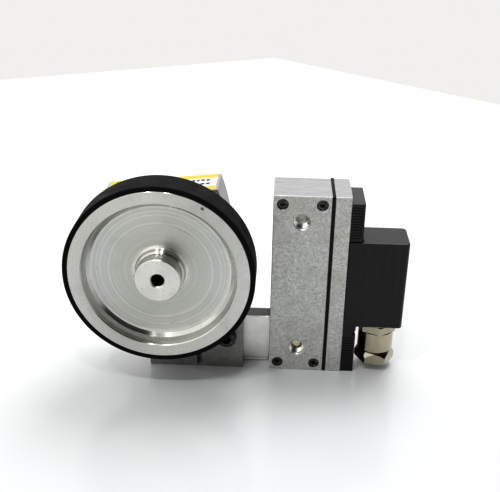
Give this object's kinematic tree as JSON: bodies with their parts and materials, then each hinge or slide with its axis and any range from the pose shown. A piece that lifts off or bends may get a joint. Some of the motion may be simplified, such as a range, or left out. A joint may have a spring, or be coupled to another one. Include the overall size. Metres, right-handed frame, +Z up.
{
  "type": "friction wheel encoder unit",
  "caption": "Rubber-tyred metering wheel on a rotary encoder, clamped to a sprung arm that pivots in an aluminium housing with a right-angle plug.",
  "frame": {"origin": "middle of the footprint, on the surface the unit stands on", "axes": "+X from the wheel towards the plug, +Y to the back (the wheel is at the front, on -Y), +Z up"},
  "size_m": [0.1726, 0.072, 0.1133],
  "materials": {
    "block_aluminium": "blasted, matte",
    "clamp_aluminium": "milled",
    "bar_steel": "ground",
    "black_screw": "black oxide",
    "bright_steel": "ground",
    "wheel_aluminium": "turned",
    "tyre_rubber": "matte",
    "seal_rubber": "matte",
    "black_plastic": "fine grain",
    "plunger_plastic": "moulded",
    "nickel": "nickel plated",
    "brass": "turned",
    "housing_grey": "smooth paint",
    "flange_dark": "anodised",
    "label_film": "printed film",
    "board_green": "solder mask",
    "disc_glass": "clear"
  },
  "bodies": {
    "housing": {"main_block": "block_aluminium", "back_plate": "block_aluminium", "corner_screws": "black_screw", "cover_gasket": "seal_rubber", "cover_plate": "block_aluminium", "cover_screws": "black_screw", "pivot_sleeve": "nickel", "return_spring": "bright_steel", "switch_board": "board_green", "board_screws": "black_screw", "micro_switch": "black_plastic", "switch_pins": "brass", "header_block": "black_plastic", "contact_blades": "brass", "socket_base": "black_plastic", "base_bush": "brass", "base_screws": "black_screw"},
    "plunger": {"switch_plunger": "plunger_plastic"},
    "arm": {"arm_bar": "bar_steel"},
    "carriage": {"clamp_block": "clamp_aluminium", "clamp_screws": "black_screw", "flange_bracket": "clamp_aluminium", "bracket_screws": "black_screw", "flange_screws": "black_screw", "encoder_flange": "flange_dark", "encoder_housing": "housing_grey", "housing_screws": "black_screw", "encoder_label": "label_film", "front_bearing": "bright_steel", "rear_bearing": "bright_steel", "bearing_spacer": "bright_steel", "bearing_clip": "bright_steel", "sensor_board": "board_green", "read_head": "black_plastic", "encoder_socket": "nickel", "socket_pins": "brass"},
    "wheel": {"wheel_hub": "wheel_aluminium", "tyre": "tyre_rubber", "grub_screw": "black_screw", "encoder_shaft": "bright_steel", "disc_hub": "brass", "code_disc": "disc_glass"},
    "plug": {"plug_hood": "black_plastic", "plug_gasket": "seal_rubber", "plug_insert": "black_plastic", "contact_clips": "brass", "plug_screw": "bright_steel", "gland_body": "nickel", "gland_seal": "seal_rubber"},
    "cable_nut": {"gland_nut": "nickel"}
  },
  "joints": [
    {"name": "arm_swing", "type": "hinge", "parent": "housing", "child": "arm", "pos_m": [0.03103, 0.00155, 0.0141], "axis": [0, 1, 0], "range_deg": [0, 8], "stiffness_Nm_per_rad": 1, "springref_deg": -40.11, "deforming": ["return_spring"]},
    {"name": "plunger_slide", "type": "slide", "parent": "housing", "child": "plunger", "axis": [0, 0, 1], "range_m": [-0.0013, 0]},
    {"name": "carriage_slide", "type": "slide", "parent": "arm", "child": "carriage", "axis": [1, 0, 0], "range_m": [-0.002, 0.0045]},
    {"name": "wheel_spin", "type": "hinge", "parent": "carriage", "child": "wheel", "pos_m": [-0.03857, -0.01045, 0.0655], "axis": [0, 1, 0], "continuous": true},
    {"name": "plug_pull", "type": "slide", "parent": "housing", "child": "plug", "axis": [1, 0, 0], "range_m": [0, 0.02]},
    {"name": "cable_nut_turn", "type": "hinge", "parent": "plug", "child": "cable_nut", "pos_m": [0.07422, 0.00005, 0.0046], "axis": [0, 0, 1], "continuous": true}
  ],
  "couplings": [
    {"joint": "plunger_slide", "follows": "arm_swing", "m_per_rad": -0.0086}
  ]
}
